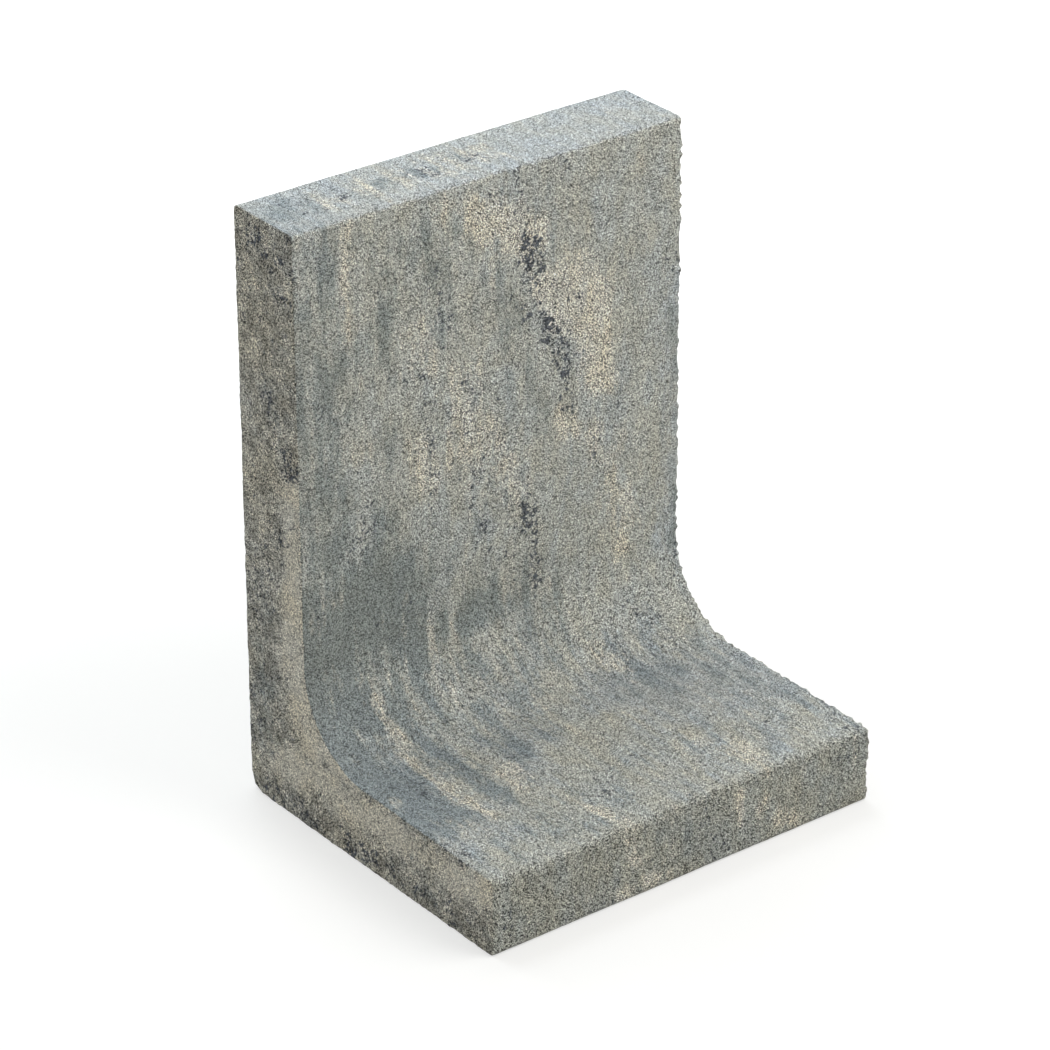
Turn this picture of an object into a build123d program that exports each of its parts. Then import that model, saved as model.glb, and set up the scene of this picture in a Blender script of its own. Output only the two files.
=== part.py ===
"""Small L-shaped concrete block for edging a bed or holding back a low bank.

The block is pressed as one solid piece. Its L-shaped section runs straight from end face to end face.
X is the width, -Y is the toe of the foot, +Y is the back of the wall, and Z is up.
The origin is in the middle of the underside. All sizes are in millimetres.
"""
import os

from build123d import *

# Overall size
WIDTH = 295.0
DEPTH = 250.0
HEIGHT = 400.0

# Both legs of the L thin out a little towards their free edges
WALL_AT_TOP = 59.0
WALL_AT_ROOT = 61.0
FOOT_AT_TOE = 52.0
FOOT_AT_ROOT = 54.5

# Rounded edges of the section
INNER_CORNER_RADIUS = 60.0
TOP_FRONT_RADIUS = 4.0
TOP_BACK_RADIUS = 3.0
TOE_RADIUS = 4.0
BASE_RADIUS = 3.0

# The small break along the outline of both end faces
END_BREAK = 0.8

# Lines of the section, seen along X
toe = -DEPTH / 2
back = DEPTH / 2
wall_front_at_top = back - WALL_AT_TOP
wall_front_at_root = back - WALL_AT_ROOT

# Each corner of the section, in order round the L, with the radius that rounds it
section_corners = [
    ((back, 0), BASE_RADIUS),
    ((toe, 0), BASE_RADIUS),
    ((toe, FOOT_AT_TOE), TOE_RADIUS),
    ((wall_front_at_root, FOOT_AT_ROOT), INNER_CORNER_RADIUS),
    ((wall_front_at_top, HEIGHT), TOP_FRONT_RADIUS),
    ((back, HEIGHT), TOP_BACK_RADIUS),
]

with BuildPart() as angle_block:
    with BuildSketch(Plane.YZ):
        with BuildLine():
            FilletPolyline(
                *[corner for corner, radius in section_corners],
                radius=[radius for corner, radius in section_corners],
                close=True,
            )
        make_face()
    extrude(amount=WIDTH / 2, both=True)
    end_faces = angle_block.faces().sort_by(Axis.X)
    fillet([*end_faces[0].edges(), *end_faces[-1].edges()], radius=END_BREAK)

angle_block.part.label = "angle_block"

os.makedirs("parts", exist_ok=True)
export_step(angle_block.part, "parts/angle_block.step")
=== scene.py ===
# %% [markdown]
# A small L-shaped concrete block, photographed on a white floor. The block is one piece of dry concrete,
# pressed hard into a steel mould and pushed straight out again. Nothing on it is smooth or painted: what
# the eye sees is sand, small pits, crumbly end edges and clouds of colour. The frame comes first. It
# holds the block at full size, and everything below is built around it in metres.

# %% Load the frame
import math

import bmesh
import bpy
import numpy as np
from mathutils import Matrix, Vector, kdtree, noise
from mathutils.geometry import delaunay_2d_cdt


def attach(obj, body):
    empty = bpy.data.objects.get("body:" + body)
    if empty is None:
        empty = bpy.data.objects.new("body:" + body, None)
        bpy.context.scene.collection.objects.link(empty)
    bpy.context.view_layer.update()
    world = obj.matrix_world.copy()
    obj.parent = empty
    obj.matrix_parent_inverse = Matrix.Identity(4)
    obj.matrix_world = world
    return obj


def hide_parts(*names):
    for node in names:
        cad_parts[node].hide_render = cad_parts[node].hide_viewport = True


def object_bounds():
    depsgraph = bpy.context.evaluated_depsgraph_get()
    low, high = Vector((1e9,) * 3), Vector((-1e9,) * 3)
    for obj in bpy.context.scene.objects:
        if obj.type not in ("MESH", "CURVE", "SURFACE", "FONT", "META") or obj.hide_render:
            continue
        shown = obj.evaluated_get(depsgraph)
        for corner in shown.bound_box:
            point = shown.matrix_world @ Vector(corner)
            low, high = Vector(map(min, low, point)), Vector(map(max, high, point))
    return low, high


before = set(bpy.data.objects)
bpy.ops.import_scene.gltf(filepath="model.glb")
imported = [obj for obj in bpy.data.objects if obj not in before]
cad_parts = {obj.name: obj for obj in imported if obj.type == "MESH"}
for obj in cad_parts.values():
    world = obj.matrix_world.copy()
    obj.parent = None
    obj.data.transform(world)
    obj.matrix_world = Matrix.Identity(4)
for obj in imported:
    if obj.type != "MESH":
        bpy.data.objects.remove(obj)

MM = 0.001
BLOCK = "angle_block"
cad_low, cad_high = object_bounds()
WIDTH = cad_high.x - cad_low.x
print("frame", BLOCK, [round(size / MM, 1) for size in cad_high - cad_low], "mm")

# %% [markdown]
# The camera stands in front of the block's left end and looks down on it, so that the end face, the
# inside of the L, the top and the toe all show. A long lens from a few steps away keeps the edges almost
# parallel, as product pictures do. Aiming is easiest with a direction instead of angles: to_track_quat
# turns the camera's own -Z towards the aim point and keeps its Y upright.

# %% Camera
CAMERA_AZIMUTH = math.radians(-37.8)
CAMERA_ELEVATION = math.radians(27.7)
CAMERA_DISTANCE = 2.8
CAMERA_LENS = 157.7
CAMERA_AIM = Vector((-0.0190, 0.0097, 0.1925))


def direction(azimuth, elevation):
    """Unit vector from the block at this azimuth and elevation, 0 being straight in front."""
    flat = math.cos(elevation)
    return Vector((math.sin(azimuth) * flat, -math.cos(azimuth) * flat, math.sin(elevation)))


def aim(thing, place, target):
    """Stand a camera or lamp at a place and point its -Z at the target."""
    thing.location = place
    thing.rotation_euler = (target - place).to_track_quat("-Z", "Y").to_euler()


camera_data = bpy.data.cameras.new("camera")
camera_data.lens = CAMERA_LENS
camera = bpy.data.objects.new("camera", camera_data)
bpy.context.scene.collection.objects.link(camera)
aim(camera, CAMERA_AIM + CAMERA_DISTANCE * direction(CAMERA_AZIMUTH, CAMERA_ELEVATION), CAMERA_AIM)
bpy.context.scene.camera = camera
bpy.context.scene.view_settings.view_transform = "Standard"
print("camera at", [round(c, 3) for c in camera.location])

# %% [markdown]
# Studio light for a matt grey thing starts with white all round, which fills the shadows. The world looks
# white to the camera, but lights the block at a lower, plain level. The Light Path node tells the two
# kinds of ray apart.

# %% World
FILL_COLOUR = (1.0, 0.99, 0.965, 1.0)
FILL_STRENGTH = 0.50
WHITE = (1.0, 1.0, 1.0, 1.0)

world = bpy.data.worlds.new("studio")
bpy.context.scene.world = world
world.use_nodes = True
sky = world.node_tree
sky.nodes.clear()


def seen_directly(tree):
    """1 for rays from the camera, mirror rays and rays through glass, 0 for the rays that light things."""
    path = tree.nodes.new("ShaderNodeLightPath")
    total = path.outputs["Is Camera Ray"]
    for kind in ("Is Glossy Ray", "Is Transmission Ray"):
        either = tree.nodes.new("ShaderNodeMath")
        either.operation = "MAXIMUM"
        tree.links.new(total, either.inputs[0])
        tree.links.new(path.outputs[kind], either.inputs[1])
        total = either.outputs[0]
    return total


fill = sky.nodes.new("ShaderNodeBackground")
fill.inputs["Color"].default_value = FILL_COLOUR
fill.inputs["Strength"].default_value = FILL_STRENGTH
backdrop = sky.nodes.new("ShaderNodeBackground")
backdrop.inputs["Color"].default_value = WHITE
backdrop.inputs["Strength"].default_value = 1.0
choose = sky.nodes.new("ShaderNodeMixShader")
sky_out = sky.nodes.new("ShaderNodeOutputWorld")
sky.links.new(seen_directly(sky), choose.inputs[0])
sky.links.new(fill.outputs[0], choose.inputs[1])
sky.links.new(backdrop.outputs[0], choose.inputs[2])
sky.links.new(choose.outputs[0], sky_out.inputs["Surface"])
print("world fill", FILL_STRENGTH)

# %% [markdown]
# Two lamps give the block its depth. A large softbox hangs high behind it and lights its top, and a
# second one stands in front and to the right and lights the inside of the L. The top then is the lightest
# face, the inside of the L comes next and the end face is the darkest. Large lamps close by give soft
# light without hard shadows.

# %% Lamps
LAMPS = [
    # name, azimuth, elevation, distance, size, power in watts, colour
    ("back_softbox", 180, 55, 1.7, 1.4, 15.5, (0.88, 0.95, 1.0)),
    ("front_softbox", 40, 44, 1.9, 1.3, 16.0, (1.0, 0.99, 0.97)),
]
block_middle = (cad_low + cad_high) / 2
for name, azimuth, elevation, distance, size, power, colour in LAMPS:
    lamp_data = bpy.data.lights.new(name, "AREA")
    lamp_data.size = size
    lamp_data.energy = power
    lamp_data.color = colour
    lamp = bpy.data.objects.new(name, lamp_data)
    bpy.context.scene.collection.objects.link(lamp)
    way = direction(math.radians(azimuth), math.radians(elevation))
    aim(lamp, block_middle + distance * way, block_middle)
print("lamps", [lamp[0] for lamp in LAMPS])

# %% [markdown]
# The floor is a plain pale sheet that keeps the block's soft shadow. A real sheet never renders quite
# white, because less light falls on it further out. So the camera sees it with a glow of its own added, a
# little near the block and more beyond the shadow, where the sheet runs out into the white backdrop. The
# block is lit by the plain sheet only.

# %% Floor
FLOOR_SIDE = 16.0
FLOOR_COLOUR = (0.55, 0.55, 0.54, 1.0)
GLOW_NEAR, GLOW_FAR = 0.52, 1.0
SHADOW_REACH, WHITE_REACH = 0.35, 1.1

floor_mesh = bpy.data.meshes.new("floor")
reach = FLOOR_SIDE / 2
floor_mesh.from_pydata(
    [(-reach, -reach, 0), (reach, -reach, 0), (reach, reach, 0), (-reach, reach, 0)], [], [(0, 1, 2, 3)]
)
floor = bpy.data.objects.new("floor", floor_mesh)
bpy.context.scene.collection.objects.link(floor)
floor_material = bpy.data.materials.new("floor_sheet")
floor_material.use_nodes = True
sheet = floor_material.node_tree
sheet.nodes.clear()
matt = sheet.nodes.new("ShaderNodeBsdfDiffuse")
matt.inputs["Color"].default_value = FLOOR_COLOUR
spot = sheet.nodes.new("ShaderNodeTexCoord")
from_block = sheet.nodes.new("ShaderNodeVectorMath")
from_block.operation = "LENGTH"
sheet.links.new(spot.outputs["Object"], from_block.inputs[0])
glow_level = sheet.nodes.new("ShaderNodeMapRange")
glow_level.interpolation_type = "SMOOTHSTEP"
glow_range = [
    ("From Min", SHADOW_REACH),
    ("From Max", WHITE_REACH),
    ("To Min", GLOW_NEAR),
    ("To Max", GLOW_FAR),
]
for name, level in glow_range:
    glow_level.inputs[name].default_value = level
sheet.links.new(from_block.outputs["Value"], glow_level.inputs["Value"])
glow_seen = sheet.nodes.new("ShaderNodeMath")
glow_seen.operation = "MULTIPLY"
sheet.links.new(glow_level.outputs["Result"], glow_seen.inputs[0])
sheet.links.new(seen_directly(sheet), glow_seen.inputs[1])
glow = sheet.nodes.new("ShaderNodeEmission")
glow.inputs["Color"].default_value = WHITE
sheet.links.new(glow_seen.outputs[0], glow.inputs["Strength"])
both = sheet.nodes.new("ShaderNodeAddShader")
floor_out = sheet.nodes.new("ShaderNodeOutputMaterial")
sheet.links.new(matt.outputs[0], both.inputs[0])
sheet.links.new(glow.outputs[0], both.inputs[1])
sheet.links.new(both.outputs[0], floor_out.inputs["Surface"])
floor.data.materials.append(floor_material)
print("floor", FLOOR_SIDE, "m square")

# %% [markdown]
# The shape of the block is its section, an L with a large rounded inner corner. Instead of drawing it
# again, the frame's own block is cut through at mid width with bisect_plane, and the cut edges are walked
# round in order. The result is the true outline, and it follows if the frame ever changes.

# %% The section, cut from the frame
WELD = 0.01 * MM


def cut_section(block):
    """The closed outline at mid width as (y, z) points, from the back of the top edge forwards."""
    cut = bmesh.new()
    cut.from_mesh(block.data)
    bmesh.ops.remove_doubles(cut, verts=cut.verts, dist=WELD)
    made = bmesh.ops.bisect_plane(
        cut, geom=[*cut.verts, *cut.edges, *cut.faces], plane_co=(0, 0, 0), plane_no=(1, 0, 0)
    )
    beside = {}
    for edge in made["geom_cut"]:
        if isinstance(edge, bmesh.types.BMEdge):
            first, second = edge.verts
            beside.setdefault(first, []).append(second)
            beside.setdefault(second, []).append(first)
    start = max(beside, key=lambda vert: vert.co.y + vert.co.z)
    walk = [start, min(beside[start], key=lambda vert: vert.co.y)]
    while walk[-1] is not start:
        walk.append(next(vert for vert in beside[walk[-1]] if vert is not walk[-2]))
    outline = np.array([(vert.co.y, vert.co.z) for vert in walk])
    cut.free()
    return outline


section = cut_section(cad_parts[BLOCK])
print("section", len(section), "points")

# %% [markdown]
# The outline is then divided afresh. Points sit about 2 mm apart on the flats and closer where the
# outline turns, so that the rounded long edges stay round. A second set with twice the points serves the
# two ends, where the edges crumble and need a finer mesh.

# %% Points along the section
ROUND_SPACING = 2.3 * MM
TURN_WEIGHT = 7 * MM


def even_points(outline, count):
    """count points along the closed outline, closer together where it turns."""
    steps = np.diff(outline, axis=0)
    lengths = np.hypot(*steps.T)
    kept = lengths > WELD
    corners = outline[:-1][kept]
    steps = steps[kept]
    lengths = lengths[kept]
    headings = np.arctan2(steps[:, 1], steps[:, 0])
    turns = np.abs((np.diff(headings, append=headings[0]) + np.pi) % (2 * np.pi) - np.pi)
    measure = lengths + TURN_WEIGHT * (turns + np.roll(turns, 1)) / 2
    marks = np.concatenate([[0], np.cumsum(measure)])
    closed = np.vstack([corners, corners[:1]])
    wanted = np.linspace(0, marks[-1], count, endpoint=False)
    return np.stack([np.interp(wanted, marks, closed[:, axis]) for axis in (0, 1)], axis=1)


def outward(points):
    """Unit normals of the closed outline, pointing out of the concrete."""
    chord = np.roll(points, -1, axis=0) - np.roll(points, 1, axis=0)
    across = np.stack([chord[:, 1], -chord[:, 0]], axis=1)
    return across / np.linalg.norm(across, axis=1, keepdims=True)


section_length = np.hypot(*np.diff(section, axis=0).T).sum()
COARSE = round(section_length / ROUND_SPACING)
coarse_points = even_points(section, COARSE)
fine_points = even_points(section, 2 * COARSE)


def walked(points):
    """How far along the outline each point lies, from the back of the top edge."""
    return np.concatenate([[0], np.cumsum(np.hypot(*np.diff(points, axis=0).T))])


print("section length", round(section_length / MM), "mm,", COARSE, "points, and twice that at the ends")

# %% [markdown]
# The skin of the block is made of rows: the section repeated across the width. At each end the first rows
# lie close together and step in round a small break of less than 1 mm. A strip of triangles joins the
# fine rows to the coarse ones. Each vertex keeps its outward normal and its distance from the end edge,
# which shape and colour use later.

# %% Rows
END_BREAK = 0.8 * MM
BREAK_AT_45 = END_BREAK * (1 - math.sqrt(0.5))
# distance from the end face, and how far the row steps in
END_ROWS = [(0.0, END_BREAK), (BREAK_AT_45, BREAK_AT_45), (END_BREAK, 0.0)]
CLOSE_ROWS = (2.0 * MM, 3.1 * MM, 4.4 * MM, 6.0 * MM)
END_ROWS += [(distance, 0.0) for distance in CLOSE_ROWS]
FIRST_COARSE_ROW = 8.0 * MM
ROW_SPACING = 3.0 * MM

places = []
normals = []
along = []
edge_distances = []
faces = []


def add_row(points, x, step_in, tilt, side, edge_distance):
    """Add one ring of vertices and return their numbers. tilt turns the normals towards the end face."""
    first = len(places)
    ways = outward(points)
    along.extend(walked(points))
    for (y, z), (way_y, way_z) in zip(points - step_in * ways, ways):
        places.append(Vector((x, y, z)))
        normals.append(Vector((side * math.sin(tilt), way_y * math.cos(tilt), way_z * math.cos(tilt))))
        edge_distances.append(edge_distance)
    return list(range(first, len(places)))


def join_rows(left, right):
    """Faces between two rows, the left one at the smaller x. One may have twice the points of the other."""
    count = min(len(left), len(right))
    for k in range(count):
        after = (k + 1) % count
        if len(left) == len(right):
            faces.append((left[k], left[after], right[after], right[k]))
        elif len(left) > len(right):
            start, middle, stop = left[2 * k], left[2 * k + 1], left[2 * after]
            faces.append((start, middle, right[k]))
            faces.append((middle, right[after], right[k]))
            faces.append((middle, stop, right[after]))
        else:
            start, middle, stop = right[2 * k], right[2 * k + 1], right[2 * after]
            faces.append((left[k], left[after], middle))
            faces.append((left[k], middle, start))
            faces.append((left[after], stop, middle))


def end_rows(side):
    """The fine rows of one end, from the end face inwards. side is -1 for the left end, 1 for the right."""
    made = []
    for number, (distance, step_in) in enumerate(END_ROWS):
        tilt = max(0.0, math.radians(90 - 45 * number))
        edge_distance = abs(distance - BREAK_AT_45)
        made.append(add_row(fine_points, side * (WIDTH / 2 - distance), step_in, tilt, side, edge_distance))
    return made


left_rows = end_rows(-1)
middle_reach = WIDTH / 2 - FIRST_COARSE_ROW
row_count = round(2 * middle_reach / ROW_SPACING) + 1
middle_rows = []
for x in np.linspace(-middle_reach, middle_reach, row_count):
    middle_rows.append(add_row(coarse_points, x, 0.0, 0.0, 0, WIDTH / 2 - abs(x)))
right_rows = end_rows(1)
all_rows = left_rows + middle_rows + right_rows[::-1]
for left, right in zip(all_rows, all_rows[1:]):
    join_rows(left, right)
print("skin", len(all_rows), "rows,", len(faces), "faces")

# %% [markdown]
# The end faces are flat, but they need as many small faces as the skin, or the relief would stop at the
# edge. Each gets two rings inside its outline and is then filled by a Delaunay triangulation over a net
# of points, which is Blender's own way to fill any outline with well-shaped triangles.

# %% End faces
CAP_RINGS = [1.6 * MM, 2.5 * MM]
CAP_NET = 3.0 * MM
NET_ROW_HEIGHT = CAP_NET * math.sqrt(0.75)
NET_CLEARANCE = 0.6 * CAP_NET
FILL_TOLERANCE = 1e-8


def inside(points, outline):
    """Which points lie inside a closed outline, by counting crossings to their right."""
    after = np.roll(outline, -1, axis=0)
    y, z = points[:, :1], points[:, 1:]
    crosses = (outline[:, 1] > z) != (after[:, 1] > z)
    with np.errstate(divide="ignore", invalid="ignore"):
        slope = (after[:, 0] - outline[:, 0]) / (after[:, 1] - outline[:, 1])
        at = outline[:, 0] + (z - outline[:, 1]) * slope
    return (crosses & (y < at)).sum(axis=1) % 2 == 1


def fill_end(rim, side):
    """Rings and a filled net over one end face. rim is the row at the end face."""
    x = side * WIDTH / 2
    rings = [rim]
    for step_in in CAP_RINGS:
        rings.append(add_row(fine_points, x, step_in, math.radians(90), side, step_in - END_BREAK))
    for outer, inner in zip(rings, rings[1:]):
        for k in range(len(outer)):
            after = (k + 1) % len(outer)
            faces.append((outer[k], inner[k], inner[after], outer[after]))
    last = rings[-1]
    loop = np.array([(places[k].y, places[k].z) for k in last])
    low, high = loop.min(axis=0), loop.max(axis=0)
    net_y, net_z = np.meshgrid(
        np.arange(low[0], high[0], CAP_NET), np.arange(low[1], high[1], NET_ROW_HEIGHT)
    )
    net_y[::2] += CAP_NET / 2
    net = np.stack([net_y.ravel(), net_z.ravel()], axis=1)
    net = net[inside(net, loop)]
    tree = kdtree.KDTree(len(loop))
    for k, (y, z) in enumerate(loop):
        tree.insert((y, z, 0), k)
    tree.balance()
    net = [point for point in net if tree.find((*point, 0))[2] > NET_CLEARANCE]
    flat = [Vector(point) for point in [*loop, *net]]
    rim_edges = [(k, (k + 1) % len(loop)) for k in range(len(loop))]
    filled, _, triangles, *_ = delaunay_2d_cdt(flat, rim_edges, [], 1, FILL_TOLERANCE)
    assert len(filled) == len(flat)
    numbers = list(last)
    for y, z in filled[len(loop):]:
        numbers.append(len(places))
        places.append(Vector((x, y, z)))
        along.append(0.0)
        normals.append(Vector((side, 0, 0)))
        edge_distances.append(tree.find((y, z, 0))[2] + CAP_RINGS[-1] - END_BREAK)
    faces.extend(tuple(numbers[k] for k in triangle) for triangle in triangles)


fill_end(left_rows[0], -1)
fill_end(right_rows[0], 1)
print("block", len(places), "vertices,", len(faces), "faces")

# %% [markdown]
# Pressed concrete is never quite flat. The faces carry slow waves of a few tenths of a millimetre and
# clots of coarse sand, rougher on the two end faces. The edges round the ends are crumbled: small teeth
# and burrs all the way along, here and there a shallow bite, and one bottom corner that is knocked off.
# All but the corner is Perlin noise, moved along the stored normals, so the same numbers come out on
# every run.

# %% Relief
WAVE_HEIGHT, WAVE_LENGTH = 0.25 * MM, 60 * MM
CLOT_HEIGHT, CLOT_LENGTH = 0.13 * MM, 6.5 * MM
SAND_HEIGHT, SAND_LENGTH = 0.12 * MM, 2.6 * MM
END_ROUGHER = 1.8
TOOTH_DEPTH, TOOTH_LENGTH = 2.0 * MM, 2.8 * MM
BITE_DEPTH, BITE_LENGTH = 2.6 * MM, 13 * MM
CRUMBLE_REACH = 2.8 * MM
BURR_SHARE = 0.35
TOOTH_START, BITE_START = -0.15, 0.15
WEAR_FALL = 1.5
CHIP_PLACE = Vector((cad_low.x, cad_high.y, cad_low.z))
CHIP_REACH, CHIP_DEPTH = 13 * MM, 4.5 * MM
SHELTERED_BAND = 5 * MM
SHELTERED_WEAR = 0.18


def relief(place, on_end):
    """How far the face stands out at a place. on_end is 1 on an end face and 0 on the long faces."""
    wave = WAVE_HEIGHT * noise.noise(place / WAVE_LENGTH)
    rough = CLOT_HEIGHT * noise.noise(place / CLOT_LENGTH) + SAND_HEIGHT * noise.noise(place / SAND_LENGTH)
    return wave + rough * (1 + (END_ROUGHER - 1) * on_end)


def wear(place, edge_distance):
    """0 away from the end edges and 1 at them, but less along the back, the top and the base."""
    nearness = max(0.0, 1 - edge_distance / CRUMBLE_REACH) ** WEAR_FALL
    off_back = place.y < cad_high.y - SHELTERED_BAND
    off_top_and_base = SHELTERED_BAND < place.z < cad_high.z - SHELTERED_BAND
    return nearness * (1.0 if off_back and off_top_and_base else SHELTERED_WEAR)


def crumble(place):
    """How far a fully worn edge has crumbled back at a place."""
    tooth = max(-BURR_SHARE, noise.noise(place / TOOTH_LENGTH) - TOOTH_START)
    bite = max(0.0, noise.noise(place / BITE_LENGTH) - BITE_START)
    return TOOTH_DEPTH * tooth + BITE_DEPTH * bite


worn = [wear(place, edge_distance) for place, edge_distance in zip(places, edge_distances)]
shaped = []
for place, normal, wear_here in zip(places, normals, worn):
    depth = wear_here * crumble(place) if wear_here > 0 else 0.0
    depth += CHIP_DEPTH * max(0.0, 1 - (place - CHIP_PLACE).length / CHIP_REACH) ** WEAR_FALL
    shaped.append(place + normal * (relief(place, abs(normal.x)) - depth))
print("relief on", len(shaped), "vertices, worn", sum(share > 0 for share in worn))

# %% [markdown]
# The moved points and the list of faces become one mesh. Its faces are turned outwards together and
# shaded smooth. An edge with no face on one side would show as a slit, so open edges are counted. The
# last lines tell the frame that this piece rides on the part's only body and stands for the plain block.

# %% The block as one mesh
block_mesh = bpy.data.meshes.new("concrete_block")
block_mesh.from_pydata(shaped, [], faces)
tidy = bmesh.new()
tidy.from_mesh(block_mesh)
bmesh.ops.recalc_face_normals(tidy, faces=tidy.faces)
open_edges = [edge for edge in tidy.edges if not edge.is_manifold]
triangle_count = sum(len(face.verts) - 2 for face in tidy.faces)
tidy.to_mesh(block_mesh)
tidy.free()
block_mesh.shade_smooth()
concrete_block = bpy.data.objects.new("concrete_block", block_mesh)
bpy.context.scene.collection.objects.link(concrete_block)
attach(concrete_block, "root")
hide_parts(BLOCK)
print("concrete_block", triangle_count, "triangles,", len(open_edges), "open edges")

# %% [markdown]
# Coloured blocks are pressed from a few mixes, a grey one, a slate one, a beige one and a little
# charcoal, that are dropped into the mould one after another. Each leaves smears, and most run down the
# wall, round the inner corner and out along the foot. So the skin is thought of as unrolled, x across the
# block and s along the section from the back of the top edge, and each smear is one soft brush stroke
# from point to point on that sheet. The two end faces have strokes of their own, in y and z. A pale mix
# lies at the wall's right edge and in wide soft patches on the foot. The same pale colour is laid over
# the whole top later, as painted cool light from above.

# %% Where the mixes lie
MIXES = ("slate", "beige", "charcoal", "pale_and_top_light")
SKIN_STROKES = [
    # mix, from (x, s), to (x, s) and half width in millimetres, strength
    # the top
    ("slate", (-142, 28), (-116, 28), 17, 0.5),
    ("beige", (-104, 30), (-76, 30), 14, 0.25),
    ("charcoal", (-104, 30), (-76, 30), 14, 0.1),
    ("slate", (-104, 30), (-76, 30), 14, 0.3),
    ("beige", (-64, 30), (-8, 30), 22, 0.4),
    ("beige", (8, 26), (20, 34), 14, 0.5),
    ("charcoal", (-46, 28), (4, 30), 12, 0.12),
    ("slate", (-66, 26), (-52, 26), 6, 0.5),
    ("slate", (-42, 24), (-24, 30), 8, 0.55),
    ("slate", (-8, 22), (8, 24), 6, 0.6),
    # the wall
    ("slate", (-134, 62), (-134, 150), 28, 0.45),
    ("slate", (-134, 150), (-130, 270), 34, 0.6),
    ("slate", (-116, 124), (-112, 145), 10, 0.5),
    ("slate", (-74, 84), (-22, 94), 16, 0.4),
    ("slate", (-82, 102), (-80, 162), 12, 0.45),
    ("slate", (-40, 102), (-34, 152), 15, 0.45),
    ("slate", (6, 114), (10, 162), 13, 0.4),
    ("slate", (-88, 204), (-84, 262), 14, 0.45),
    ("slate", (32, 186), (36, 238), 10, 0.4),
    ("slate", (-145, 322), (-90, 318), 40, 1.1),
    ("slate", (-73, 298), (-66, 365), 12, 1.0),
    ("slate", (146, 180), (146, 345), 9, 0.45),
    ("beige", (-106, 62), (-104, 88), 8, 0.5),
    ("beige", (-108, 95), (-110, 140), 4, 0.35),
    ("beige", (-38, 68), (-5, 82), 14, 0.4),
    ("beige", (-5, 82), (30, 106), 16, 1.1),
    ("beige", (0, 108), (0, 128), 5, 0.4),
    ("beige", (54, 144), (72, 160), 20, 1.1),
    ("beige", (48, 164), (56, 178), 8, 0.8),
    ("beige", (72, 165), (80, 190), 15, 1.05),
    ("beige", (80, 192), (86, 216), 15, 0.9),
    ("beige", (52, 232), (60, 242), 9, 0.6),
    ("beige", (70, 248), (102, 258), 10, 0.45),
    ("beige", (84, 262), (92, 290), 14, 0.5),
    ("beige", (104, 305), (102, 342), 9, 0.6),
    ("beige", (-52, 142), (-50, 170), 12, 0.5),
    ("beige", (-52, 226), (-48, 240), 15, 0.6),
    ("beige", (-32, 184), (-30, 214), 13, 0.55),
    ("beige", (-15, 230), (8, 262), 22, 0.58),
    ("charcoal", (-60, 190), (0, 285), 34, 0.06),
    ("beige", (-14, 282), (-8, 294), 9, 0.5),
    ("charcoal", (25, 114), (36, 138), 9, 0.28),
    ("charcoal", (33, 126), (38, 138), 5, 0.3),
    ("charcoal", (19, 144), (24, 163), 6, 0.28),
    ("charcoal", (34, 158), (45, 174), 7, 0.32),
    ("charcoal", (44, 178), (55, 198), 9, 0.32),
    ("charcoal", (54, 201), (59, 208), 4, 0.42),
    ("charcoal", (54, 212), (60, 234), 6, 0.24),
    ("charcoal", (24, 284), (28, 304), 8, 0.42),
    ("charcoal", (30, 310), (33, 344), 6, 0.34),
    ("charcoal", (8, 318), (18, 340), 6, 0.16),
    ("charcoal", (-44, 112), (-38, 138), 8, 0.2),
    ("charcoal", (-24, 190), (-20, 199), 5, 0.2),
    # the inner corner and the foot
    ("slate", (-140, 350), (-134, 488), 26, 1.0),
    ("slate", (-118, 346), (-112, 386), 16, 1.3),
    ("slate", (-85, 360), (-80, 390), 26, 0.7),
    ("slate", (-60, 350), (24, 348), 24, 0.6),
    ("slate", (-40, 376), (-10, 392), 18, 0.56),
    ("slate", (-88, 388), (-81, 500), 11, 0.85),
    ("slate", (-28, 405), (-62, 478), 15, 0.5),
    ("slate", (40, 350), (-20, 440), 22, 0.5),
    ("slate", (80, 430), (150, 500), 40, 0.5),
    ("slate", (-140, 548), (-85, 545), 20, 0.28),
    ("slate", (-100, 530), (145, 528), 34, 0.2),
    ("pale_and_top_light", (-150, 400), (-130, 500), 40, 0.7),
    ("pale_and_top_light", (0, 400), (-60, 480), 26, 0.6),
    ("pale_and_top_light", (72, 450), (150, 480), 46, 1.1),
    ("pale_and_top_light", (20, 536), (150, 532), 32, 0.45),
    ("pale_and_top_light", (146, 170), (146, 345), 16, 0.7),
    ("beige", (-103, 378), (-102, 400), 5, 0.4),
    ("beige", (-103, 406), (-104, 500), 8, 0.45),
    ("beige", (-55, 345), (-52, 405), 6, 0.35),
    ("beige", (-64, 468), (-64, 494), 8, 0.5),
    ("beige", (62, 396), (70, 424), 14, 0.35),
    ("beige", (-45, 528), (-42, 560), 8, 0.5),
    ("beige", (48, 508), (68, 552), 14, 0.35),
    # the toe
    ("slate", (-16, 578), (16, 594), 16, 0.2),
    ("beige", (-46, 572), (-40, 592), 6, 0.6),
    ("beige", (-52, 608), (-10, 612), 5, 0.6),
    ("beige", (42, 574), (44, 596), 4, 0.6),
    ("beige", (64, 594), (82, 608), 8, 0.55),
    # the back, which the camera doesn't see
    ("slate", (-108, 1235), (-102, 1090), 28, 0.5),
    ("beige", (-40, 1225), (-46, 1120), 20, 0.45),
    ("slate", (42, 1180), (48, 1000), 26, 0.5),
    ("beige", (100, 1110), (96, 980), 22, 0.45),
    ("slate", (-72, 970), (-62, 895), 24, 0.5),
    ("charcoal", (18, 1132), (24, 1095), 8, 0.2),
]
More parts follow.
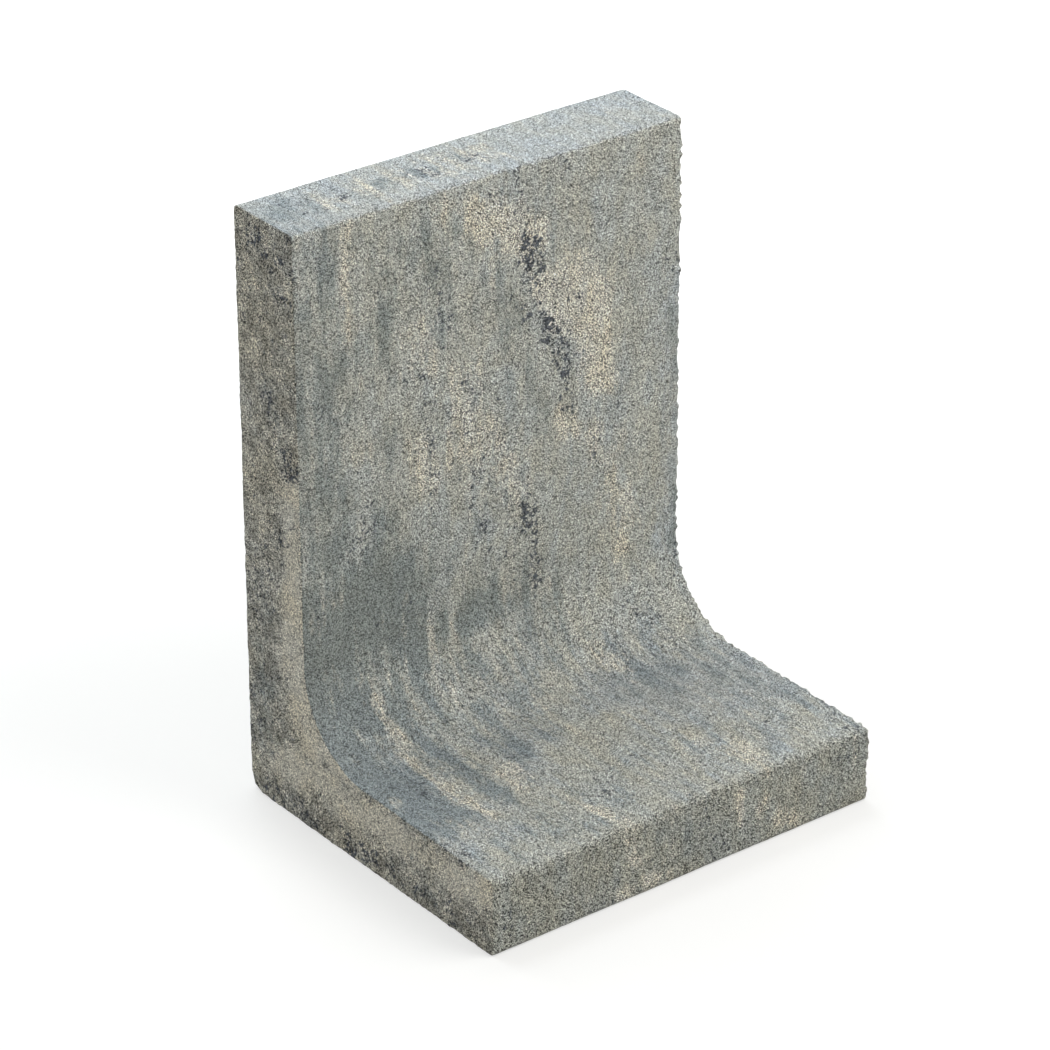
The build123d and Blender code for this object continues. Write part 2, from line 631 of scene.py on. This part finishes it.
LEFT_END_STROKES = [
    # mix, from (y, z), to (y, z) and half width in millimetres, strength
    ("slate", (94, 285), (88, 268), 8, 0.6),
    ("slate", (100, 150), (98, 62), 11, 0.35),
    ("slate", (112, 110), (108, 30), 14, 0.4),
    ("slate", (12, 50), (10, 28), 3, 0.45),
    ("slate", (-25, 50), (-28, 28), 5, 0.6),
    ("slate", (-40, 50), (-42, 28), 5, 0.6),
    ("slate", (114, 6), (70, 5), 9, 0.15),
    ("slate", (10, 7), (-100, 7), 8, 0.15),
    ("beige", (72, 226), (70, 110), 12, 1.1),
    ("beige", (72, 110), (58, 62), 15, 1.0),
    ("beige", (46, 66), (14, 52), 10, 0.9),
    ("beige", (92, 36), (15, 36), 15, 0.9),
    ("beige", (0, 40), (-122, 40), 14, 0.8),
    ("beige", (-112, 18), (-124, 8), 6, 0.4),
    ("charcoal", (104, 386), (84, 378), 9, 0.2),
    ("charcoal", (80, 355), (70, 348), 7, 0.2),
    ("charcoal", (94, 285), (88, 268), 7, 0.18),
    ("charcoal", (80, 250), (64, 238), 9, 0.32),
    ("charcoal", (92, 205), (86, 195), 7, 0.22),
    ("charcoal", (64, 2), (48, 3), 6, 0.25),
    ("charcoal", (20, 5), (-8, 7), 8, 0.3),
    ("charcoal", (-15, 7), (-100, 7), 9, 0.1),
    ("charcoal", (110, 8), (70, 8), 10, 0.2),
]
RIGHT_END_STROKES = [
    # the same, on the end that the camera doesn't see
    ("beige", (95, 360), (80, 240), 12, 0.7),
    ("beige", (75, 60), (-60, 40), 16, 0.7),
    ("slate", (108, 220), (100, 60), 15, 0.6),
    ("slate", (110, 5), (-120, 5), 12, 0.6),
    ("charcoal", (92, 215), (86, 160), 8, 0.45),
    ("charcoal", (-20, 8), (-95, 10), 9, 0.45),
]
end_strokes = len(LEFT_END_STROKES) + len(RIGHT_END_STROKES)
print("strokes", len(SKIN_STROKES), "on the skin and", end_strokes, "on the ends")

# %% [markdown]
# Now the strokes are painted onto the vertices. A stroke is full in its core and fades towards its edge.
# Before a vertex asks how near a stroke it lies, noise pushes it about a little, and the stroke gets
# ragged. noise_vector starts from the clock, so it is given a fixed seed, and the same smears come out on
# every run. A colour attribute holds four numbers. The first one gets slate, beige, charcoal and a mark
# for the end faces. The second one gets the faces that look up, where cool light from above is painted,
# the worn edges, the pale mix, raised over the top as more painted cool light, and a mark for the toe.

# %% Painting the mixes and the cool top light
STROKE_CORE, STROKE_EDGE = 0.3, 1.5
TOP_PALE_AND_COOL_LIGHT, TOP_FALL = 2, 4
RAGGED = [(6 * MM, 34 * MM), (3 * MM, 9 * MM)]
RAGGED_SEED = 1


def stroke_levels(points, strokes):
    """The level of each mix at flat points, 0 for none and about 1 for full, one column for each mix."""
    levels = np.zeros((len(points), len(MIXES)))
    for mix, start, stop, half_width, strength in strokes:
        start, stop = np.array(start) * MM, np.array(stop) * MM
        run = stop - start
        share = np.clip((points - start) @ run / (run @ run), 0, 1)
        gap = np.linalg.norm(points - start - share[:, None] * run, axis=1) / (half_width * MM)
        depth = np.clip((STROKE_EDGE - gap) / (STROKE_EDGE - STROKE_CORE), 0, 1)
        column = levels[:, MIXES.index(mix)]
        np.maximum(column, strength * depth, out=column)
    return levels


noise.seed_set(RAGGED_SEED)
pushes = []
for place in places:
    push = Vector((0, 0, 0))
    for height, length in RAGGED:
        push += height * noise.noise_vector(place / length)
    pushes.append(push)
pushes = np.array(pushes)
flat_places = np.array(places)
ways = np.array(normals)
end_share = np.abs(ways[:, :1])
on_skin_sheet = np.column_stack([flat_places[:, 0], along]) + pushes[:, [0, 2]]
on_end_sheet = flat_places[:, 1:] + pushes[:, 1:]
skin_levels = stroke_levels(on_skin_sheet, SKIN_STROKES)
end_levels = np.where(
    flat_places[:, :1] < 0,
    stroke_levels(on_end_sheet, LEFT_END_STROKES),
    stroke_levels(on_end_sheet, RIGHT_END_STROKES),
)
levels = skin_levels + (end_levels - skin_levels) * end_share
looks_up = np.clip(ways[:, 2], 0, 1)
looks_forward = np.clip(-ways[:, 1], 0, 1)
on_top = looks_up * (flat_places[:, 2] > cad_high.z / 2)
on_toe = looks_forward * (flat_places[:, 1] < cad_low.y / 2)
# the top gets the pale colour as painted cool light from above, over the pale mix
pale_and_top_light_levels = np.maximum(levels[:, 3], TOP_PALE_AND_COOL_LIGHT * on_top ** TOP_FALL)


def paint(name, columns):
    """Store four numbers for each vertex as a colour attribute."""
    layer = block_mesh.color_attributes.new(name, "FLOAT_COLOR", "POINT")
    layer.data.foreach_set("color", np.column_stack(columns).astype(np.float32).ravel())


paint("mixes", [levels[:, :3], end_share])
# the faces that look up and the top's pale level carry painted cool light from above
paint("finish_and_top_light", [looks_up, worn, pale_and_top_light_levels, on_toe])
print("mixes", dict(zip(MIXES, levels.mean(axis=0).round(2))))

# %% [markdown]
# The material is built from nodes in the block's own coordinates, in metres, so a sand grain has the same
# size everywhere and the grains run round the edges as they do in a solid lump. First come a few small
# helpers, so that the recipe below reads as a recipe. These wire nodes and mix colours.

# %% Helpers that wire and mix
concrete = bpy.data.materials.new("pressed_concrete")
concrete.use_nodes = True
tree = concrete.node_tree
tree.nodes.clear()


def feed(socket, value):
    """Give a socket a fixed value, or wire it to another node's output."""
    if isinstance(value, bpy.types.NodeSocket):
        tree.links.new(value, socket)
    else:
        socket.default_value = value


def maths(operation, first, second=0.0):
    """One sum, difference, product or other step between two numbers."""
    made = tree.nodes.new("ShaderNodeMath")
    made.operation = operation
    feed(made.inputs[0], first)
    feed(made.inputs[1], second)
    return made.outputs[0]


def channels(colour):
    """The three parts of a colour as plain numbers."""
    made = tree.nodes.new("ShaderNodeSeparateColor")
    feed(made.inputs[0], colour)
    return [made.outputs[part] for part in ("Red", "Green", "Blue")]


def fade(value, start, stop, low=0.0, high=1.0):
    """Smooth step from low at start to high at stop."""
    made = tree.nodes.new("ShaderNodeMapRange")
    made.interpolation_type = "SMOOTHSTEP"
    feed(made.inputs["Value"], value)
    for name, level in (("From Min", start), ("From Max", stop), ("To Min", low), ("To Max", high)):
        feed(made.inputs[name], level)
    return made.outputs["Result"]


def blend(amount, first, second, mode="MIX"):
    """The first colour with this amount of the second mixed in."""
    made = tree.nodes.new("ShaderNodeMix")
    made.data_type = "RGBA"
    made.blend_type = mode
    feed(made.inputs["Factor"], amount)
    feed(made.inputs["A"], first)
    feed(made.inputs["B"], second)
    return made.outputs["Result"]


def ramp(value, stops):
    """A grey for each value, through (position, brightness) stops."""
    made = tree.nodes.new("ShaderNodeValToRGB")
    elements = made.color_ramp.elements
    while len(elements) < len(stops):
        elements.new(0.5)
    for element, (position, brightness) in zip(elements, stops):
        element.position = position
        element.color = (brightness, brightness, brightness, 1.0)
    feed(made.inputs["Fac"], value)
    return made.outputs["Color"]


print("material started", concrete.name)

# %% [markdown]
# The next helpers draw patterns. Sand is a Voronoi texture, one cell for each grain. Its grid is turned
# askew, because a grid that lies almost flat in a face shows there as broad bands. Clouds are soft noise,
# and stretched coordinates turn clouds into streaks.

# %% Helpers that draw patterns
ASKEW = [math.radians(angle) for angle in (35, 25, 50)]


def sand(where, size):
    """Cells of about this size: three random numbers for each grain, and the distance from its middle."""
    turned = tree.nodes.new("ShaderNodeVectorRotate")
    turned.rotation_type = "EULER_XYZ"
    feed(turned.inputs["Vector"], where)
    feed(turned.inputs["Rotation"], ASKEW)
    made = tree.nodes.new("ShaderNodeTexVoronoi")
    feed(made.inputs["Vector"], turned.outputs[0])
    feed(made.inputs["Scale"], 1 / size)
    return channels(made.outputs["Color"]), made.outputs["Distance"]


def cloud(where, size, detail=2.0):
    """Soft noise with lumps of about this size."""
    made = tree.nodes.new("ShaderNodeTexNoise")
    feed(made.inputs["Vector"], where)
    feed(made.inputs["Scale"], 1 / size)
    feed(made.inputs["Detail"], detail)
    return made.outputs["Fac"]


def stretched(where, stretch):
    """Coordinates that run slower along some axes, so that what is drawn with them gets longer there."""
    made = tree.nodes.new("ShaderNodeVectorMath")
    made.operation = "MULTIPLY"
    feed(made.inputs[0], where)
    feed(made.inputs[1], stretch)
    return made.outputs[0]


print("grain grid turned by", [round(math.degrees(angle)) for angle in ASKEW], "degrees")

# %% [markdown]
# The clouds of colour come first. A number called lean says at each spot which way a border gives: it is
# made of slow streaks, small lumps and a little of each grain's own chance, so the painted levels break
# up into ragged borders. On the faces that look up the slate is painted bluer, which is painted cool
# light from above. Charcoal is loose: coarse and fine grains pick for themselves whether they are dark
# ones, so the dark smears end in single dark grains, as they do in the real thing.

# %% The mixes, with painted cool light on the faces that look up
GRAIN_SIZE, COARSE_GRAIN = 0.48 * MM, 1.6 * MM
STONE_GREY = (0.517, 0.526, 0.486, 1.0)
# the pale mix, also painted over the top as cool light from above
PALE_SKIN_AND_TOP_LIGHT = (0.497, 0.523, 0.524, 1.0)
TOE_GREY = (0.425, 0.432, 0.388, 1.0)
EARTH = (0.546, 0.532, 0.47, 1.0)
SLATE = (0.298, 0.325, 0.31, 1.0)
# the slate as lit by cool light from above, painted on the faces that look up
SLATE_IN_COOL_TOP_LIGHT = (0.298, 0.338, 0.35, 1.0)
BEIGE = (0.694, 0.663, 0.575, 1.0)
CHARCOAL = (0.115, 0.125, 0.14, 1.0)
WARM_TINT = (1.012, 1.0, 0.972, 1.0)
COOL_TINT = (0.985, 1.0, 1.02, 1.0)
TINT_SIZES = (9 * MM, 22 * MM)
WANDER_SIZE, WANDER_STREAK = 20 * MM, 7 * MM
LUMP_SIZE, CLUMP_SIZE, SWARM_SIZE = 2.6 * MM, 5 * MM, 22 * MM
CLUMPINESS = 3.0
LONG_STREAKS, SHORT_STREAKS = (1.0, 0.18, 0.18), (1.0, 0.45, 0.45)
STREAK_LEAN, LUMP_LEAN, GRAIN_LEAN = 1.6, 0.7, 0.2
BORDER = (0.15, 0.85)
TINT_BORDER = (0.38, 0.62)
SLATE_UNTINTED = 0.7
SWARM_BORDER, SWARM_SHARE, END_SWARM = (0.5, 0.75), 0.25, 0.1
COARSE_PICK, FINE_PICK = 0.5, 0.2
CHARCOAL_BORDER = (0.0, 0.12)
MEAN = 0.5

here = tree.nodes.new("ShaderNodeTexCoord").outputs["Object"]
painted = tree.nodes.new("ShaderNodeVertexColor")
painted.layer_name = "mixes"
slate, beige, charcoal = channels(painted.outputs["Color"])
end_face = painted.outputs["Alpha"]
painted_finish_and_top_light = tree.nodes.new("ShaderNodeVertexColor")
painted_finish_and_top_light.layer_name = "finish_and_top_light"
facing_up, worn_edge, pale_and_top_light = channels(painted_finish_and_top_light.outputs["Color"])
toe_face = painted_finish_and_top_light.outputs["Alpha"]
(choice, tone, height), grain_distance = sand(here, GRAIN_SIZE)
(coarse_choice, coarse_tone, _), _ = sand(here, COARSE_GRAIN)


def around_zero(value, strength):
    """A number from 0 to 1 turned into one about zero, of this strength."""
    return maths("MULTIPLY", maths("SUBTRACT", value, MEAN), strength)


streak = around_zero(cloud(stretched(here, LONG_STREAKS), WANDER_STREAK, detail=4.0), STREAK_LEAN)
wander = maths("ADD", streak, maths("SUBTRACT", cloud(here, WANDER_SIZE, detail=5.0), MEAN))
lump = around_zero(cloud(here, LUMP_SIZE), LUMP_LEAN)
single = around_zero(choice, GRAIN_LEAN)
lean = maths("ADD", maths("ADD", wander, lump), single)
# the pale colour: the pale mix, and on the top painted cool light from above
colour = blend(fade(maths("ADD", pale_and_top_light, lean), *BORDER), STONE_GREY, PALE_SKIN_AND_TOP_LIGHT)
colour = blend(toe_face, colour, TOE_GREY)
colour = blend(end_face, colour, EARTH)
slate_share = fade(maths("ADD", slate, lean), *BORDER)
# painted cool light from above: the slate turns bluer on the faces that look up
colour = blend(slate_share, colour, blend(facing_up, SLATE, SLATE_IN_COOL_TOP_LIGHT))
beige_share = fade(maths("SUBTRACT", beige, lean), *BORDER)
colour = blend(beige_share, colour, BEIGE)
tinted = maths("SUBTRACT", 1.0, maths("MULTIPLY", slate, SLATE_UNTINTED))
for tint_size in TINT_SIZES:
    tint_cloud = cloud(stretched(here, SHORT_STREAKS), tint_size, detail=4.0)
    tint = blend(fade(tint_cloud, *TINT_BORDER), WARM_TINT, COOL_TINT)
    colour = blend(tinted, colour, tint, mode="MULTIPLY")
clump = maths("SUBTRACT", cloud(here, CLUMP_SIZE, detail=3.0), MEAN)
swarm_cloud = cloud(stretched(here, SHORT_STREAKS), SWARM_SIZE, detail=3.0)
swarm = fade(swarm_cloud, *SWARM_BORDER, high=SWARM_SHARE)
rough_end = maths("MULTIPLY", end_face, maths("SUBTRACT", 1.0, beige_share))
swarm = maths("ADD", swarm, maths("MULTIPLY", rough_end, END_SWARM))
clump = maths("MULTIPLY", clump, maths("ADD", 1.0, maths("MULTIPLY", charcoal, CLUMPINESS)))
dark_share = maths("ADD", maths("ADD", charcoal, swarm), clump)
coarse_pick = maths("MULTIPLY", coarse_choice, COARSE_PICK)
picked = maths("ADD", coarse_pick, maths("MULTIPLY", choice, FINE_PICK))
charcoal_grain = fade(maths("SUBTRACT", dark_share, picked), *CHARCOAL_BORDER)
colour = blend(charcoal_grain, colour, CHARCOAL)
print("mixes wired,", len(tree.nodes), "nodes")

# %% [markdown]
# The second number of a grain gives its brightness, from nearly black to bright quartz, and the gaps
# between the grains get painted shade. The grey ground, the slate and the pale colour are finer and more
# even, so their grains differ less, while the toe, the end faces and the beige stay speckled. Small pits
# lie among the grains, most of them on the end faces and along the worn edges, and the shade inside them
# is painted as a dark tone. Soft clots of two sizes keep the grey from looking like printed noise, and the
# rough parts of the end faces have darker blots as well.

# %% Light and dark grains, with painted shade in gaps and pits
GRAIN_TONES = [(0.0, 0.0), (0.29, 0.05), (0.38, 1.05), (0.88, 1.85), (1.0, 2.5)]
# painted shade in the gaps between the grains
GAP_SHADE_TONES = [(0.3, 1.4), (0.8, 0.25)]
COARSE_TONES = [(0.0, 0.8), (0.1, 0.98), (0.9, 1.02), (1.0, 1.2)]
CALM_GROUND, CALM_SLATE, CALM_PALE, CALM_BEIGE_END = 0.17, 0.12, 0.08, 0.3
PIT_SIZE = 1.4 * MM
# the dark inside the pits is painted shade
PIT_SHADE_TONE = (0.2, 0.2, 0.2, 1.0)
PITS_ALL, PITS_END, PITS_EDGE, PITS_TOE = 0.1, 0.42, 0.2, 0.12
PIT_CHANCE_BORDER = (0.0, 0.02)
PIT_RIM = (0.68, 0.52)
CROOK_SIZE, CROOK_STRENGTH = 0.4 * PIT_SIZE, 0.5
CLOT_SIZES = (3.6 * MM, 10 * MM)
CLOT_TONES = [(0.3, 0.92), (0.7, 1.08)]
BLOT_SIZE = 8 * MM
BLOT_TONES = [(0.35, 0.62), (0.62, 1.16)]

speckled = maths("MAXIMUM", maths("MAXIMUM", toe_face, end_face), beige_share)
calm = maths("MULTIPLY", maths("SUBTRACT", 1.0, speckled), CALM_GROUND)
calm = maths("ADD", calm, maths("MULTIPLY", slate, CALM_SLATE))
calm = maths("ADD", calm, maths("MULTIPLY", pale_and_top_light, CALM_PALE))
calm = maths("ADD", calm, maths("MULTIPLY", maths("MULTIPLY", end_face, beige_share), CALM_BEIGE_END))
contrast = maths("SUBTRACT", 1.0, calm)
colour = blend(contrast, colour, ramp(tone, GRAIN_TONES), mode="MULTIPLY")
# painted shade in the gaps between the grains
colour = blend(contrast, colour, ramp(grain_distance, GAP_SHADE_TONES), mode="MULTIPLY")
colour = blend(contrast, colour, ramp(coarse_tone, COARSE_TONES), mode="MULTIPLY")


def pit_shade_mask(share):
    """Painted shade: 1 in a pit and 0 elsewhere, in that share of the cells, with crooked borders."""
    (chance, _, _), distance = sand(here, PIT_SIZE)
    crook = maths("MULTIPLY", cloud(here, CROOK_SIZE), CROOK_STRENGTH)
    chosen = fade(maths("SUBTRACT", share, chance), *PIT_CHANCE_BORDER)
    return maths("MULTIPLY", chosen, fade(maths("ADD", distance, crook), *PIT_RIM))


pit_share = maths("ADD", maths("MULTIPLY", rough_end, PITS_END), maths("MULTIPLY", worn_edge, PITS_EDGE))
pit_share = maths("ADD", pit_share, maths("MULTIPLY", toe_face, PITS_TOE))
pit_share = maths("ADD", PITS_ALL, pit_share)
# painted shade in the pits
colour = blend(pit_shade_mask(pit_share), colour, PIT_SHADE_TONE, mode="MULTIPLY")
for clot_size in CLOT_SIZES:
    colour = blend(1.0, colour, ramp(cloud(here, clot_size), CLOT_TONES), mode="MULTIPLY")
blots = ramp(cloud(here, BLOT_SIZE, detail=4.0), BLOT_TONES)
colour = blend(rough_end, colour, blots, mode="MULTIPLY")
print("grains wired,", len(tree.nodes), "nodes")

# %% [markdown]
# The surface is matt, with hardly any shine. The grains also stand out a little: the third number of a
# grain is its height, its rim falls away, and a Bump node turns that into small slopes for the light. At
# this size bump is enough, because no grain shows in the outline.

# %% Surface
BUMP_HEIGHT, BUMP_STRENGTH = 0.45 * MM, 0.6
ROUGHNESS, SHINE = 0.92, 0.25

bump = tree.nodes.new("ShaderNodeBump")
feed(bump.inputs["Height"], maths("SUBTRACT", height, grain_distance))
feed(bump.inputs["Strength"], BUMP_STRENGTH)
feed(bump.inputs["Distance"], BUMP_HEIGHT)
surface = tree.nodes.new("ShaderNodeBsdfPrincipled")
feed(surface.inputs["Base Color"], colour)
feed(surface.inputs["Roughness"], ROUGHNESS)
feed(surface.inputs["Specular IOR Level"], SHINE)
feed(surface.inputs["Normal"], bump.outputs["Normal"])
material_out = tree.nodes.new("ShaderNodeOutputMaterial")
tree.links.new(surface.outputs[0], material_out.inputs["Surface"])
concrete_block.data.materials.append(concrete)
print("material", len(tree.nodes), "nodes")
